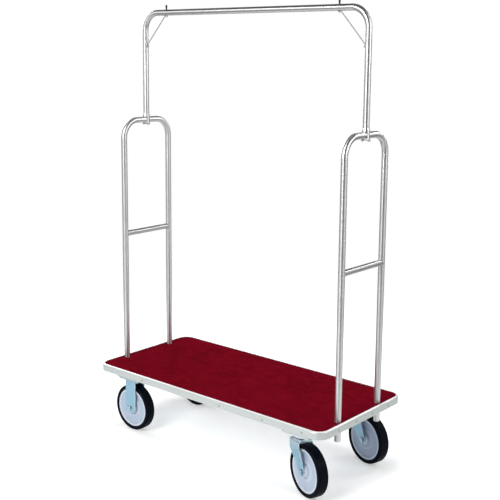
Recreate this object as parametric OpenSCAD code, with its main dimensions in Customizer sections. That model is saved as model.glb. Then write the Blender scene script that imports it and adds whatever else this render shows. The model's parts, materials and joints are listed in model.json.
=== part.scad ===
// Hotel luggage cart: a carpeted deck on four casters, a tubular hoop with a push bar at
// each end, and an overhead hanging rail whose legs straddle the tops of the end hoops.
// +X runs along the deck to the swivel end, +Y to the back and +Z up.
// The origin is on the floor below the middle of the deck. All sizes are in millimetres.

/* [Deck] */
// Length of the deck over its edge trim
deck_length = 1225; // [1215:5:1400]
// Width of the deck over its edge trim
deck_width = 560; // [530:5:680]
// Corner radius of the deck over its edge trim
deck_corner_r = 50; // [45:1:90]
// Thickness of the deck board
board_t = 22; // [20:1:25]
// Thickness of the bearer boards that the casters are screwed to
bearer_t = 18.5; // [16:0.5:25]
// Thickness of the carpet with its backing
carpet_t = 5; // [4:0.5:7]
// Sheet thickness of the aluminium edge trim
trim_t = 1.8; // [1.5:0.1:2.2]

/* [Tubes] */
// Outside diameter of the hoop and rail tube
tube_d = 25.4; // [24:0.1:28]
// Wall thickness of every tube
tube_wall = 1.5; // [1.2:0.1:2]
// Centre-line radius of every bend
bend_r = 75; // [65:1:90]
// Distance of the end hoops from the middle of the deck
hoop_x = 582; // [560:1:588]
// Distance between the two posts of an end hoop
hoop_span = 269; // [240:1:320]
// Height of the end hoops' top centre line above the floor
hoop_z = 1350; // [1200:1:1450]
// Height of the push bars' centre line above the floor
push_bar_z = 851; // [700:1:1000]
// Outside diameter of the push bars
push_bar_d = 24; // [20:0.5:24]
// Height of the hanging rail's centre line above the floor
rail_z = 1813; // [1750:1:1950]
// Height of the posts' lower ends above the floor
post_bottom_z = 208; // [206:1:225]

/* [Pegs and braces] */
// Distance of the hanger pegs from the middle of the rail
peg_x = 451; // [400:1:480]
// Length of a peg cap above the rail
peg_cap_h = 20; // [14:1:30]
// Drop of the corner braces below the rail's centre line
brace_drop = 141; // [120:1:200]
// Diameter of the brace rods
brace_d = 4.5; // [4:0.5:6]

/* [Casters] */
// Outside diameter of the wheels
wheel_d = 203; // [185:1:206]
// Width of the tyres
tyre_w = 45; // [40:1:50]
// Outside diameter of the hub discs inside the tyres
hub_d = 170; // [150:1:173]
// Distance of the rigid casters from the middle of the deck
rigid_x = 450; // [430:1:470]
// Distance of the swivel kingpins from the middle of the deck
kingpin_x = 472; // [450:1:480]
// Distance of the front casters from the deck's centre line
front_row_y = 210; // [185:1:211]
// Distance of the back casters from the deck's centre line
back_row_y = 188; // [185:1:211]
// Trail of the swivel casters, from kingpin to axle
trail = 50; // [45:1:55]
// Heading of the front swivel caster at rest, in degrees
front_yaw = -19.5; // [-40:0.5:40]
// Heading of the back swivel caster at rest, in degrees
back_yaw = -15; // [-40:0.5:40]

/* [Hidden] */
$fn = 64;
front = -1;
back = 1;
snug = 0.05;
running = 0.05;
cut = 1;

tube_r = tube_d / 2;
wheel_r = wheel_d / 2;
hub_r = hub_d / 2;
axle_r = 6;
bush_r = 10;

// Caster stack, upwards from the floor
crown_gap = 4;
crown_t = 4;
low_race_h = 5.5;
race_gap = 4.5;
top_race_h = 11.5;
plate_t = 4.5;
crown_z = wheel_d + crown_gap;
low_race_z = crown_z + crown_t;
ball_z = low_race_z + low_race_h + race_gap / 2;
top_race_z = low_race_z + low_race_h + race_gap;
plate_z = top_race_z + top_race_h;
bearer_z = plate_z + plate_t;
board_z = bearer_z + bearer_t;
carpet_z = board_z + board_t;
deck_z = carpet_z + carpet_t;

// Caster plates, forks and swivel race
plate_size = [115, 90];
plate_hole_x = 45;
plate_hole_y = 32;
lag_r = 4;
lag_len = 16;
lag_head_h = 5;
plate_hole_play = 0.3;
plate_corner_r = 10;
throat_t = 3;
hub_len = 60;
fork_half = hub_len / 2 + 4;
fork_t = 3.5;
rigid_leg_w = 58;
rigid_leg_t = 3;
rigid_foot_drop = 18;
foot_corner_r = 14;
bridge_t = 4;
race_r = 34;
race_inner_r = 18;
ball_r = 4;
ball_pitch_r = 26;
ball_count = 18;
groove_r = ball_r + 0.3;
kingpin_r = 6;
kingpin_nut_h = 8;
nut_gap = 0.3;
head_pocket_r = 12;
head_h = 7;

// Edge trim section
lip_w = 8.7;
shoulder_r = 8;
hem_t = 1.5;
board_inset = trim_t + 0.3;
carpet_inset = lip_w + snug;
trim_screw_z = board_z + 11;
side_screw_x = [-521, -332, -111, 111, 332, 521];
end_screw_y = [-168, -56, 56, 168];
trim_shank_r = 2;
trim_screw_len = 18;
screw_head_r = 3.8;
screw_head_h = 2.2;

// Saddle ends of the hanging rail's legs
saddle_r = 15.5;
saddle_bore_r = 13;
saddle_top_z = hoop_z + 28;
flare_h = 10;
saddle_bottom_z = hoop_z - 23;
saddle_bolt_z = hoop_z - 17.6;
saddle_bolt_r = 2.5;

// Pegs and braces
rail_bottom_z = rail_z - tube_r;
peg_bolt_r = 2.5;
eye_r = 6.5;
eye_t = 2.5;
eye_z = rail_bottom_z - eye_t;
nut_h = 4;
tab_x = hoop_x - tube_r - eye_t;
tab_z = rail_z - brace_drop;
tab_rise = 7;
eye_reach = 8;
brace_screw_r = 1.6;
stud_tail = 2;
stud_end_gap = 6;

// Bearers and post tabs
bearer_size = [128, 512];
tab_room = 0.5;
tab_size = [42, 60];
post_tab_t = 3;
tab_screw_spots = [[-34, 0], [-20, -22], [-20, 22]];
tab_screw_r = 2;
tab_screw_len = 18;
plug_lip = 2;
plug_len = 12;

// ---------- Colours ----------
steel = "#c9ccd0";
zinc = "#a6c6d8";
hub_grey = "#c6cbdc";
black = "#17181c";
alloy = "#dcdde0";
carpet_red = "#75101f";
plywood = "#b08d60";

// ---------- Helpers ----------
function heading(side) = side == front ? front_yaw : back_yaw;

function row_y(side) = side == front ? -front_row_y : back_row_y;

// Point where a line from p touches a circle at c with radius r, on the left (+1) or right (-1) of c
function tangent_point(p, c, r, side) =
    let (d = c - p, l = norm(d), a = atan2(d[1], d[0]), b = asin(r / l), t = sqrt(l * l - r * r))
    p + t * [cos(a + side * b), sin(a + side * b)];

module rounded_rect(l, w, r) {
    square([l - 2 * r, w], center = true);
    square([l, w - 2 * r], center = true);
    for (x = [-1, 1], y = [-1, 1])
        translate([x * (l / 2 - r), y * (w / 2 - r)]) circle(r);
}

// Outline of the deck, drawn in by an inset
module deck_outline(inset) {
    rounded_rect(deck_length - 2 * inset, deck_width - 2 * inset, deck_corner_r - inset);
}

module at_posts() {
    for (x = [-hoop_x, hoop_x], y = [-hoop_span / 2, hoop_span / 2])
        translate([x, y, 0]) children();
}

module at_plate_holes() {
    for (x = [-plate_hole_x, plate_hole_x], y = [-plate_hole_y, plate_hole_y])
        translate([x, y, 0]) children();
}

module at_trim_screws() {
    for (x = side_screw_x, s = [0, 180])
        rotate([0, 0, s]) translate([x, -deck_width / 2, trim_screw_z]) rotate([90, 0, 0]) children();
    for (y = end_screw_y, s = [0, 180])
        rotate([0, 0, s]) translate([deck_length / 2, y, trim_screw_z]) rotate([0, 90, 0]) children();
}

module at_rigid(side) {
    translate([-rigid_x, row_y(side), 0]) children();
}

module at_kingpin(side) {
    translate([kingpin_x, row_y(side), 0]) children();
}

module at_swivel(side) {
    at_kingpin(side) rotate([0, 0, heading(side)]) children();
}

// Turns a shape drawn about +Z so that it lies along the axle, with +Z becoming -Y
module along_axle(offset_x = 0) {
    translate([offset_x, 0, wheel_r]) rotate([90, 0, 0]) children();
}

module tube(d, h) {
    difference() {
        cylinder(d = d, h = h);
        translate([0, 0, -cut]) cylinder(d = d - 2 * tube_wall, h = h + 2 * cut);
    }
}

// Inverted U of round tube in the XZ plane, its legs ending at bottom_z
module tube_hoop(span, top_z, bottom_z) {
    leg_h = top_z - bend_r - bottom_z;
    run = span - 2 * bend_r;
    for (s = [-1, 1])
        translate([s * span / 2, 0, bottom_z]) tube(tube_d, leg_h);
    for (s = [0, 180])
        rotate([0, 0, s]) translate([run / 2, 0, top_z - bend_r]) rotate([90, 0, 0])
            rotate_extrude(angle = 90) translate([bend_r, 0]) difference() {
                circle(tube_r);
                circle(tube_r - tube_wall);
            }
    translate([-run / 2, 0, top_z]) rotate([0, 90, 0]) tube(tube_d, run);
}

// Hexagonal head or nut of a width across flats
module hexagon(flats, h) {
    cylinder(d = flats / cos(30), h = h, $fn = 6);
}

// Hexagonal nut with a chamfered outer edge, lying on z = 0
module hex_nut(flats, h, bore_r) {
    difference() {
        intersection() {
            hexagon(flats, h);
            cylinder(r1 = flats / 2 + h, r2 = flats / 2, h = h);
        }
        translate([0, 0, -cut]) cylinder(r = bore_r, h = h + 2 * cut);
    }
}

// Hexagonal bolt with its head above z = 0 and its shank below
module hex_bolt(flats, head, shank_r, shank_len) {
    intersection() {
        hexagon(flats, head);
        cylinder(r1 = flats / 2 + head, r2 = flats / 2, h = head);
    }
    translate([0, 0, -shank_len]) cylinder(r = shank_r, h = shank_len);
}

// Pan-head screw with a cross recess, its head above z = 0
module pan_screw(head_r, head, shank_r, shank_len) {
    difference() {
        union() {
            cylinder(r = head_r, h = head / 2);
            translate([0, 0, head / 2]) cylinder(r1 = head_r, r2 = head_r * 0.7, h = head / 2);
        }
        for (a = [0, 90])
            rotate([0, 0, a]) translate([0, 0, head]) cube([head_r, head_r / 4, head], center = true);
    }
    translate([0, 0, -shank_len]) cylinder(r = shank_r, h = shank_len);
}

// ---------- Deck ----------
module deck_board() {
    color(plywood) difference() {
        translate([0, 0, board_z]) linear_extrude(board_t)
            deck_outline(board_inset);
        at_posts() translate([0, 0, board_z - cut]) cylinder(r = tube_r + snug, h = board_t + 2 * cut);
        at_trim_screws() translate([0, 0, -trim_screw_len - cut])
            cylinder(r = trim_shank_r + snug, h = trim_screw_len + cut);
        post_tab_screw_places() translate([0, 0, board_z - post_tab_t])
            cylinder(r = tab_screw_r + snug, h = tab_screw_len + cut);
    }
}

// Board above two casters, relieved where a post tab reaches over it
module bearer_board(x, pocket) {
    color(plywood) difference() {
        translate([x - bearer_size[0] / 2, -bearer_size[1] / 2, bearer_z])
            cube([bearer_size[0], bearer_size[1], bearer_t]);
        for (side = [front, back]) translate([x, row_y(side), bearer_z - cut]) {
            at_plate_holes() cylinder(r = lag_r + snug, h = lag_len + cut);
            if (pocket) cylinder(r = head_pocket_r, h = head_h + 1 + cut);
        }
        at_post_tabs(tab_room) cube([
            tab_size[0] + 2 * tab_room, tab_size[1] + 2 * tab_room, post_tab_t + 2 * screw_head_h
        ]);
    }
}

module left_bearer_board() {
    bearer_board(-rigid_x, false);
}

module right_bearer_board() {
    bearer_board(kingpin_x, true);
}

module deck_carpet() {
    color(carpet_red) difference() {
        translate([0, 0, carpet_z]) linear_extrude(carpet_t)
            deck_outline(carpet_inset);
        at_posts() translate([0, 0, carpet_z - cut]) cylinder(r = tube_r + 0.5, h = carpet_t + 2 * cut);
    }
}

// Section of the trim: hem under the board, upright face, round shoulder and lip on the carpet.
// Its outer face is at x = 0.
module trim_section() {
    shoulder_z = deck_z + trim_t - shoulder_r;
    translate([-lip_w, board_z - hem_t]) square([lip_w, hem_t]);
    translate([-trim_t, board_z]) square([trim_t, shoulder_z - board_z]);
    intersection() {
        translate([-shoulder_r, shoulder_z]) difference() {
            circle(shoulder_r);
            circle(shoulder_r - trim_t);
        }
        translate([-shoulder_r, shoulder_z]) square(shoulder_r + cut);
    }
    translate([-lip_w, deck_z]) square([lip_w - shoulder_r, trim_t]);
}

module trim_run(len) {
    rotate([90, 0, 0]) linear_extrude(len, center = true) trim_section();
}

module trim_corner() {
    rotate_extrude(angle = 90) translate([deck_corner_r, 0]) trim_section();
}

module edge_trim() {
    corner_x = deck_length / 2 - deck_corner_r;
    corner_y = deck_width / 2 - deck_corner_r;
    color(alloy) difference() {
        union() {
            for (s = [0, 180]) rotate([0, 0, s]) {
                translate([deck_length / 2, 0, 0]) trim_run(2 * corner_y);
                rotate([0, 0, 90]) translate([deck_width / 2, 0, 0]) trim_run(2 * corner_x);
                translate([corner_x, corner_y, 0]) trim_corner();
                translate([-corner_x, corner_y, 0]) rotate([0, 0, 90]) trim_corner();
            }
        }
        at_trim_screws() translate([0, 0, -trim_t - cut])
            cylinder(r = trim_shank_r + snug, h = trim_t + 2 * cut);
    }
}

module trim_screws() {
    color(steel) at_trim_screws()
        pan_screw(screw_head_r, screw_head_h, trim_shank_r, trim_screw_len, $fn = 24);
}

// ---------- End hoops ----------
module end_hoop() {
    color(steel) rotate([0, 0, 90]) tube_hoop(hoop_span, hoop_z, post_bottom_z);
}

module left_end_hoop() {
    translate([-hoop_x, 0, 0]) end_hoop();
}

module right_end_hoop() {
    translate([hoop_x, 0, 0]) end_hoop();
}

// Cross tube whose ends are coped to sit on the posts
module push_bar(x) {
    color(steel) difference() {
        translate([x, hoop_span / 2, push_bar_z]) rotate([90, 0, 0]) tube(push_bar_d, hoop_span);
        for (y = [-hoop_span / 2, hoop_span / 2])
            translate([x, y, push_bar_z - tube_d]) cylinder(r = tube_r + snug, h = 2 * tube_d);
    }
}

module left_push_bar() {
    push_bar(-hoop_x);
}

module right_push_bar() {
    push_bar(hoop_x);
}

module post_tab_screw_places() {
    for (s = [0, 180], y = [-hoop_span / 2, hoop_span / 2])
        rotate([0, 0, s]) translate([hoop_x, y, 0])
            for (p = tab_screw_spots) translate(p) children();
}

// Puts a shape drawn downwards from the deck board at each tab's inner front corner
module at_post_tabs(room) {
    for (s = [0, 180], y = [-hoop_span / 2, hoop_span / 2])
        rotate([0, 0, s])
            translate([hoop_x - tab_size[0] - room, y - tab_size[1] / 2 - room, board_z])
            mirror([0, 0, 1]) children();
}

// Half flanges welded to the posts below the deck board
module post_tabs() {
    color(zinc) difference() {
        at_post_tabs(0) cube([tab_size[0], tab_size[1], post_tab_t]);
        at_posts() cylinder(r = tube_r + snug, h = deck_z);
        post_tab_screw_places() cylinder(r = tab_screw_r + snug, h = deck_z);
    }
}

module post_tab_screws() {
    color(steel) post_tab_screw_places() translate([0, 0, board_z - post_tab_t])
        mirror([0, 0, 1]) pan_screw(screw_head_r, screw_head_h, tab_screw_r, tab_screw_len, $fn = 24);
}

module post_end_plugs() {
    color(hub_grey) at_posts() {
        translate([0, 0, post_bottom_z - plug_lip]) cylinder(r1 = tube_r - 1, r2 = tube_r, h = plug_lip);
        translate([0, 0, post_bottom_z]) cylinder(r = tube_r - tube_wall - snug, h = plug_len);
    }
}

// ---------- Overhead rail ----------
// Flared tube end below a leg, still without its slot
module saddle_sleeve() {
    top = saddle_top_z;
    inner = tube_r - tube_wall;
    rotate_extrude() polygon([
        [inner, top], [tube_r, top], [saddle_r, top - flare_h], [saddle_r, saddle_bottom_z],
        [saddle_bore_r, saddle_bottom_z], [saddle_bore_r, top - flare_h]
    ]);
}

// Slot that lets a leg straddle the top tube of an end hoop
module saddle_slot() {
    slot_r = tube_r + snug;
    translate([0, 0, hoop_z]) rotate([90, 0, 0]) linear_extrude(3 * saddle_r, center = true) {
        circle(slot_r);
        translate([-slot_r, -2 * slot_r]) square([2 * slot_r, 2 * slot_r]);
    }
}

module overhead_rail() {
    color(steel) difference() {
        union() {
            tube_hoop(2 * hoop_x, rail_z, saddle_top_z);
            for (x = [-hoop_x, hoop_x]) translate([x, 0, 0]) saddle_sleeve();
        }
        for (x = [-hoop_x, hoop_x]) translate([x, 0, 0]) {
            saddle_slot();
            translate([0, 0, saddle_bolt_z]) rotate([0, 90, 0])
                cylinder(r = saddle_bolt_r + snug, h = 3 * saddle_r, center = true);
        }
        for (x = [-peg_x, peg_x])
            translate([x, 0, rail_z - tube_d]) cylinder(r = peg_bolt_r + snug, h = 2 * tube_d);
        for (s = [0, 180]) rotate([0, 0, s])
            translate([hoop_x - 2 * tube_r, 0, tab_z]) rotate([0, 90, 0])
            cylinder(r = brace_screw_r + snug, h = 2 * tube_r);
    }
}

// Bolts below the hoop tubes that lock the saddles down
module saddle_bolts() {
    color(zinc) for (s = [0, 180]) rotate([0, 0, s])
        translate([hoop_x + saddle_r, 0, saddle_bolt_z]) rotate([0, 90, 0])
            hex_bolt(8, 3.5, saddle_bolt_r, 2 * saddle_r + 5, $fn = 32);
}

module saddle_nuts() {
    color(zinc) for (s = [0, 180]) rotate([0, 0, s])
        translate([hoop_x - saddle_r, 0, saddle_bolt_z]) rotate([0, -90, 0])
            hex_nut(8, nut_h, saddle_bolt_r + snug, $fn = 32);
}

// Rod with a flat eye under the rail and a flat tab on the leg
module brace() {
    top = [peg_x + eye_reach, eye_z + eye_t / 2];
    foot = [tab_x + eye_t / 2, tab_z + tab_rise];
    reach = foot - top;
    difference() {
        union() {
            translate([peg_x, 0, eye_z - snug]) cylinder(r = eye_r, h = eye_t);
            translate([peg_x, -brace_d / 2, eye_z - snug]) cube([eye_reach + 2, brace_d, eye_t]);
            translate([tab_x - snug, 0, tab_z]) rotate([0, 90, 0]) cylinder(r = eye_r, h = eye_t);
            translate([tab_x - snug, -brace_d / 2, tab_z]) cube([eye_t, brace_d, tab_rise + 2]);
            translate([top[0], 0, top[1]]) rotate([0, atan2(reach[0], reach[1]), 0])
                cylinder(d = brace_d, h = norm(reach), $fn = 32);
        }
        translate([peg_x, 0, eye_z - eye_t]) cylinder(r = peg_bolt_r + snug, h = 3 * eye_t);
        translate([tab_x - cut, 0, tab_z]) rotate([0, 90, 0])
            cylinder(r = brace_screw_r + snug, h = eye_t + 2 * cut);
        translate([tab_x + eye_t - snug, -eye_r, tab_z - eye_r])
            cube([2 * eye_t, 2 * eye_r, 3 * eye_r]);
        translate([peg_x - eye_r, -eye_r, eye_z + eye_t - snug])
            cube([4 * eye_r, 2 * eye_r, 2 * eye_t]);
    }
}

module right_brace() {
    color(steel) brace();
}

module left_brace() {
    color(steel) mirror([1, 0, 0]) brace();
}

module brace_screws() {
    color(steel) for (s = [0, 180]) rotate([0, 0, s])
        translate([tab_x - snug, 0, tab_z]) rotate([0, -90, 0])
            pan_screw(3.5, 2.4, brace_screw_r, 8, $fn = 24);
}

// Studs that hold the peg caps, the rail and the brace eyes together
module peg_bolts() {
    color(zinc) for (x = [-peg_x, peg_x])
        translate([x, 0, eye_z - snug - nut_h - stud_tail])
            cylinder(r = peg_bolt_r, h = stud_tail + nut_h + eye_t + tube_d + peg_cap_h - stud_end_gap);
}

module peg_nuts() {
    color(zinc) for (x = [-peg_x, peg_x])
        translate([x, 0, eye_z - snug]) mirror([0, 0, 1]) hex_nut(8, nut_h, peg_bolt_r + snug, $fn = 32);
}

// Round-nosed cap on a stud, waisted where it meets the rail
module peg_cap(x) {
    cap_r = 4;
    waist_r = 3.3;
    waist_h = 5;
    taper_h = 3;
    body_z = waist_h + taper_h;
    color(black) translate([x, 0, rail_z + tube_r - snug]) difference() {
        union() {
            cylinder(r = waist_r, h = waist_h);
            translate([0, 0, waist_h]) cylinder(r1 = waist_r, r2 = cap_r, h = taper_h);
            translate([0, 0, body_z]) cylinder(r = cap_r, h = peg_cap_h - body_z - cap_r);
            translate([0, 0, peg_cap_h - cap_r]) intersection() {
                sphere(cap_r);
                cylinder(r = cap_r + cut, h = cap_r + cut);
            }
        }
        translate([0, 0, -cut]) cylinder(r = peg_bolt_r + snug, h = peg_cap_h - stud_end_gap + 1 + cut);
        translate([0, 0, -tube_r + snug]) rotate([0, 90, 0])
            cylinder(r = tube_r + snug, h = 4 * cap_r, center = true);
    }
}

module left_peg_cap() {
    peg_cap(-peg_x);
}

module right_peg_cap() {
    peg_cap(peg_x);
}

// ---------- Casters ----------
module caster_plate() {
    difference() {
        translate([0, 0, plate_z]) linear_extrude(plate_t)
            rounded_rect(plate_size[0], plate_size[1], plate_corner_r);
        translate([0, 0, plate_z - cut]) at_plate_holes()
            cylinder(r = lag_r + plate_hole_play, h = plate_t + 2 * cut);
    }
}

module caster_lag_screws() {
    color(zinc) for (side = [front, back], x = [-rigid_x, kingpin_x])
        translate([x, row_y(side), plate_z]) at_plate_holes() mirror([0, 0, 1])
            hex_bolt(13, lag_head_h, lag_r, lag_len + plate_t - 1, $fn = 32);
}

// Plan of a rigid leg: a web with its long edges rolled in towards the wheel
module rigid_leg_plan() {
    half = rigid_leg_w / 2;
    edge_r = 8;
    depth = 8.5;
    module outline(shrink) {
        r = edge_r - shrink;
        translate([-half + edge_r, -fork_half + shrink]) square([2 * (half - edge_r), depth]);
        translate([-half + shrink, -fork_half + edge_r]) square([2 * (half - shrink), depth]);
        for (s = [-1, 1]) translate([s * (half - edge_r), -fork_half + edge_r]) circle(r);
    }
    intersection() {
        difference() {
            outline(0);
            outline(rigid_leg_t);
        }
        translate([-half - cut, -fork_half - cut]) square([2 * (half + cut), depth + cut]);
    }
}

// Rigid bracket: mounting plate, bridge and two legs with rounded feet
module rigid_fork() {
    foot_z = wheel_r - rigid_foot_drop;
    bridge_w = 2 * (fork_half - rigid_leg_t);
    color(zinc) difference() {
        union() {
            caster_plate();
            translate([-rigid_leg_w / 2, -bridge_w / 2, plate_z - bridge_t])
                cube([rigid_leg_w, bridge_w, bridge_t]);
            intersection() {
                for (s = [0, 180]) rotate([0, 0, s])
                    translate([0, 0, foot_z]) linear_extrude(plate_z - foot_z) rigid_leg_plan();
                translate([0, 0, foot_z + wheel_d / 2]) rotate([90, 0, 0])
                    linear_extrude(3 * fork_half, center = true)
                        rounded_rect(rigid_leg_w + snug, wheel_d, foot_corner_r);
            }
        }
        along_axle() cylinder(r = axle_r + snug, h = 3 * fork_half, center = true);
        translate([0, 0, plate_z - bridge_t - cut]) at_plate_holes()
            cylinder(r = lag_r + plate_hole_play, h = bridge_t + 2 * cut);
    }
}

// Mounting plate with the upper ball race, fixed to the bearer board
module swivel_plate() {
    color(zinc) difference() {
        union() {
            caster_plate();
            rotate_extrude() polygon([
                [0, plate_z], [race_r + 6, plate_z], [race_r + 2, top_race_z + 3], [race_r, top_race_z],
                [race_inner_r, top_race_z], [race_inner_r - 2, plate_z - throat_t], [0, plate_z - throat_t]
            ]);
        }
        race_groove();
        cylinder(r = kingpin_r + snug, h = bearer_z + cut);
    }
}

module race_groove() {
    translate([0, 0, ball_z]) rotate_extrude() translate([ball_pitch_r, 0]) circle(groove_r, $fn = 32);
}

module race_balls() {
    color(steel) for (i = [0:ball_count - 1])
        rotate([0, 0, i * 360 / ball_count]) translate([ball_pitch_r, 0, ball_z])
            sphere(ball_r, $fn = 24);
}

module kingpin() {
    color(steel) translate([0, 0, bearer_z])
        hex_bolt(19, head_h, kingpin_r, bearer_z - crown_z + kingpin_nut_h + 3);
}

module kingpin_nut() {
    color(steel) translate([0, 0, crown_z - nut_gap]) mirror([0, 0, 1])
        hex_nut(19, kingpin_nut_h, kingpin_r + snug);
}

// Side view of a swivel leg, from the crown down and back to the axle
module swivel_leg_side() {
    foot_r = 16;
    axle = [trail, wheel_r];
    crown_top = low_race_z;
    heel = [-race_r, crown_top - 34];
    toe = [24, crown_top - 4];
    polygon([
        [-race_r, crown_top], heel, tangent_point(heel, axle, foot_r, -1), axle,
        tangent_point(toe, axle, foot_r, 1), toe, [race_r, crown_top - 4], [race_r, crown_top]
    ]);
    translate(axle) circle(foot_r);
}

// Front view of a swivel fork: a crown with two legs and round outer corners
module swivel_fork_front() {
    bend = 6;
    drop = low_race_z;
    difference() {
        union() {
            translate([-fork_half, 0]) square([2 * fork_half, drop - bend]);
            translate([-fork_half + bend, 0]) square([2 * (fork_half - bend), drop]);
            for (s = [-1, 1]) translate([s * (fork_half - bend), drop - bend]) circle(bend);
        }
        translate([-fork_half + fork_t, -cut]) square([2 * (fork_half - fork_t), crown_z + cut]);
    }
}

// Trailing fork with the lower ball race on its crown
module swivel_fork() {
    color(zinc) difference() {
        union() {
            intersection() {
                rotate([90, 0, 90]) linear_extrude(3 * wheel_d, center = true) swivel_fork_front();
                rotate([90, 0, 0]) linear_extrude(3 * fork_half, center = true) swivel_leg_side();
            }
            translate([0, 0, low_race_z]) difference() {
                cylinder(r1 = race_r - snug, r2 = race_r - 1, h = low_race_h);
                translate([0, 0, -cut]) cylinder(r = race_inner_r, h = low_race_h + 2 * cut);
            }
        }
        race_groove();
        cylinder(r = kingpin_r + running, h = deck_z);
        along_axle(trail) cylinder(r = axle_r + snug, h = 3 * fork_half, center = true);
        translate([11, 0, crown_z - 30]) rotate([90, 0, 0])
            cylinder(r = 3, h = 3 * fork_half, center = true);
    }
}

module axle_bolt(offset_x) {
    color(steel) along_axle(offset_x) translate([0, 0, fork_half])
        hex_bolt(18, head_h, axle_r, 2 * fork_half + 12);
}

module axle_nut(offset_x) {
    color(steel) along_axle(offset_x) translate([0, 0, -fork_half]) mirror([0, 0, 1])
        hex_nut(18, 9, axle_r + snug);
}

// Solid rubber tyre with rounded shoulders and a bead ring on each side
module tyre(offset_x) {
    shoulder = min(7.5, (wheel_r - hub_r) / 2 - snug);
    flank = tyre_w / 2;
    color(black) along_axle(offset_x) rotate_extrude($fn = 128) difference() {
        union() {
            translate([hub_r, -flank]) square([wheel_r - hub_r - shoulder, tyre_w]);
            translate([hub_r, -flank + shoulder]) square([wheel_r - hub_r, tyre_w - 2 * shoulder]);
            for (s = [-1, 1]) translate([wheel_r - shoulder, s * (flank - shoulder)]) circle(shoulder);
        }
        for (s = [-1, 1]) translate([hub_r + 3.5, s * flank]) circle(0.9, $fn = 16);
    }
}

// Dished wheel disc: rim lip, recessed web and a stepped boss, bored for its bush
module hub(offset_x) {
    rim = tyre_w / 2 - 3;
    web = rim - 6;
    boss = hub_len / 2;
    half = [
        [bush_r + snug, boss], [15, boss], [16, boss - 1], [16, rim + 3], [22, rim + 1], [25, web + 1],
        [28, web], [hub_r - 12, web], [hub_r - 8, rim - 1], [hub_r - 6, rim], [hub_r - 1.5, rim],
        [hub_r - snug, rim - 1.5]
    ];
    flipped = [for (i = [len(half) - 1:-1:0]) [half[i][0], -half[i][1]]];
    color(hub_grey) along_axle(offset_x) rotate_extrude($fn = 128) polygon(concat(half, flipped));
}

module bush(offset_x) {
    color(alloy) along_axle(offset_x) difference() {
        cylinder(r = bush_r, h = hub_len, center = true);
        cylinder(r = axle_r + running, h = hub_len + 2 * cut, center = true);
    }
}

// ---------- Parts ----------
deck_board();
left_bearer_board();
right_bearer_board();
deck_carpet();
edge_trim();
trim_screws();
left_end_hoop();
right_end_hoop();
left_push_bar();
right_push_bar();
post_tabs();
post_tab_screws();
post_end_plugs();
overhead_rail();
saddle_bolts();
saddle_nuts();
left_brace();
right_brace();
brace_screws();
peg_bolts();
peg_nuts();
left_peg_cap();
right_peg_cap();
caster_lag_screws();
at_rigid(front) rigid_fork();  // left_front_fork
at_rigid(front) axle_bolt(0);  // left_front_axle_bolt
at_rigid(front) axle_nut(0);  // left_front_axle_nut
at_rigid(front) tyre(0);  // left_front_tyre
at_rigid(front) hub(0);  // left_front_hub
at_rigid(front) bush(0);  // left_front_bush
at_rigid(back) rigid_fork();  // left_back_fork
at_rigid(back) axle_bolt(0);  // left_back_axle_bolt
at_rigid(back) axle_nut(0);  // left_back_axle_nut
at_rigid(back) tyre(0);  // left_back_tyre
at_rigid(back) hub(0);  // left_back_hub
at_rigid(back) bush(0);  // left_back_bush
at_kingpin(front) swivel_plate();  // right_front_swivel_plate
at_kingpin(front) race_balls();  // right_front_race_balls
at_kingpin(front) kingpin();  // right_front_kingpin
at_kingpin(front) kingpin_nut();  // right_front_kingpin_nut
at_swivel(front) swivel_fork();  // right_front_fork
at_swivel(front) axle_bolt(trail);  // right_front_axle_bolt
at_swivel(front) axle_nut(trail);  // right_front_axle_nut
at_swivel(front) tyre(trail);  // right_front_tyre
at_swivel(front) hub(trail);  // right_front_hub
at_swivel(front) bush(trail);  // right_front_bush
at_kingpin(back) swivel_plate();  // right_back_swivel_plate
at_kingpin(back) race_balls();  // right_back_race_balls
at_kingpin(back) kingpin();  // right_back_kingpin
at_kingpin(back) kingpin_nut();  // right_back_kingpin_nut
at_swivel(back) swivel_fork();  // right_back_fork
at_swivel(back) axle_bolt(trail);  // right_back_axle_bolt
at_swivel(back) axle_nut(trail);  // right_back_axle_nut
at_swivel(back) tyre(trail);  // right_back_tyre
at_swivel(back) hub(trail);  // right_back_hub
at_swivel(back) bush(trail);  // right_back_bush
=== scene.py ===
import json
import math

import bmesh
import bpy
import numpy as np
from mathutils import Matrix, Vector, noise


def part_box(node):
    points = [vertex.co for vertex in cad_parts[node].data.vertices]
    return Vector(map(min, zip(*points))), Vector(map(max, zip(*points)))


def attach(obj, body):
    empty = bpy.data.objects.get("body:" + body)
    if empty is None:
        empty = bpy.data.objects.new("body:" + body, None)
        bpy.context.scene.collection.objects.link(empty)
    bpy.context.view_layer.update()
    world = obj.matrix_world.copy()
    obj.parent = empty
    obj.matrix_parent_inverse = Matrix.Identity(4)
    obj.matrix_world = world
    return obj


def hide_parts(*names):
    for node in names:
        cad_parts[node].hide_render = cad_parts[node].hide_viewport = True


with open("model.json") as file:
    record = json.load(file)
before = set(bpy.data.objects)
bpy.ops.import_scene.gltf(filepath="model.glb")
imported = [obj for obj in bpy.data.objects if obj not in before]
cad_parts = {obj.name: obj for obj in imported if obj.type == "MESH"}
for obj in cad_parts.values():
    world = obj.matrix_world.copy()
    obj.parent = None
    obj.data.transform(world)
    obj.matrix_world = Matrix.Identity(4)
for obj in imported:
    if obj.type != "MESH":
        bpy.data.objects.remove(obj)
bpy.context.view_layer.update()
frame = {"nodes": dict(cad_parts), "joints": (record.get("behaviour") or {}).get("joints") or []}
NODES = frame["nodes"]
MM = 0.001
JOINTS = {j["name"]: j for j in frame["joints"]}

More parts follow.
